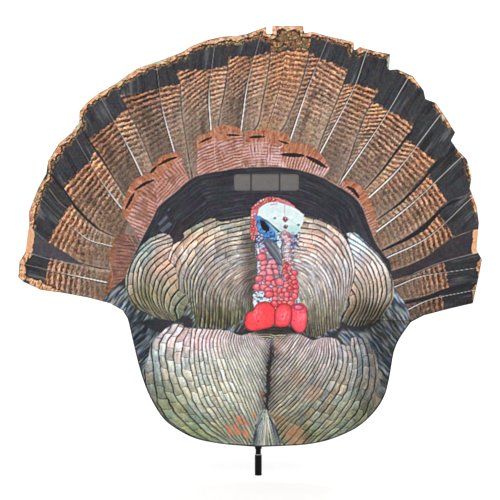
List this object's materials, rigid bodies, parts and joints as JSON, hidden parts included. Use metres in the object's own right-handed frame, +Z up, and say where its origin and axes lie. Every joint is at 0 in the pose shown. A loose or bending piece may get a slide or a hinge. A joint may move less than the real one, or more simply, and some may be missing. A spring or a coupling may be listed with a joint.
{
  "type": "turkey decoy",
  "caption": "Flat printed-cloth turkey silhouette on a bent-wire hoop frame that folds in three about two vertical hinge rods and swivels on a stake pole.",
  "frame": {"origin": "centre of the ferrule's open bottom end, on the pole's axis", "axes": "+Z up along the pole, the printed side faces -Y, +X to the right of somebody who looks at the print"},
  "size_m": [0.763, 0.0136, 0.74],
  "materials": {
    "black_plastic": "semi-matt moulded black",
    "pale_nylon": "natural nylon",
    "black_fibreglass": "pultruded, satin black",
    "black_steel": "black-coated spring wire",
    "aluminium_sleeve": "satin",
    "elastic_cord": "braided",
    "printed_cloth": "matt printed polyester",
    "window_mesh": "see-through net"
  },
  "bodies": {
    "mast": {"socket_ferrule": "black_plastic", "ferrule_washer": "pale_nylon", "lower_pole_tube": "black_fibreglass", "pole_joint_sleeve": "aluminium_sleeve", "upper_pole_tube": "black_fibreglass", "shock_cord": "elastic_cord", "lower_cord_plug": "pale_nylon", "upper_cord_plug": "pale_nylon", "pole_tip_cap": "black_plastic", "lower_stop_collar": "black_plastic", "lower_collar_pin": "aluminium_sleeve", "upper_stop_collar": "black_plastic", "upper_collar_pin": "aluminium_sleeve"},
    "spine": {"lower_hinge_bracket": "black_plastic", "middle_hinge_bracket": "black_plastic", "upper_hinge_bracket": "black_plastic", "top_hinge_bracket": "black_plastic", "centre_panel_lower": "printed_cloth", "centre_panel_upper": "printed_cloth", "centre_window_mesh": "window_mesh"},
    "left_wing": {"left_hinge_rod": "black_steel", "left_body_wire": "black_steel", "left_fan_wire": "black_steel", "left_waist_crimp": "aluminium_sleeve", "left_bottom_crimp": "aluminium_sleeve", "left_top_crimp": "aluminium_sleeve", "left_panel": "printed_cloth", "left_window_mesh": "window_mesh"},
    "right_wing": {"right_hinge_rod": "black_steel", "right_body_wire": "black_steel", "right_fan_wire": "black_steel", "right_waist_crimp": "aluminium_sleeve", "right_bottom_crimp": "aluminium_sleeve", "right_top_crimp": "aluminium_sleeve", "right_panel": "printed_cloth", "right_window_mesh": "window_mesh"}
  },
  "joints": [
    {"name": "decoy_swivel", "type": "hinge", "parent": "mast", "child": "spine", "pos_m": [0, 0, 0.05], "axis": [0, 0, 1], "continuous": true},
    {"name": "left_wing_fold", "type": "hinge", "parent": "spine", "child": "left_wing", "pos_m": [-0.012, -0.003, 0.05], "axis": [0, 0, -1], "range_deg": [0, 90]},
    {"name": "right_wing_fold", "type": "hinge", "parent": "spine", "child": "right_wing", "pos_m": [0.035, -0.003, 0.05], "axis": [0, 0, 1], "range_deg": [0, 90]}
  ]
}
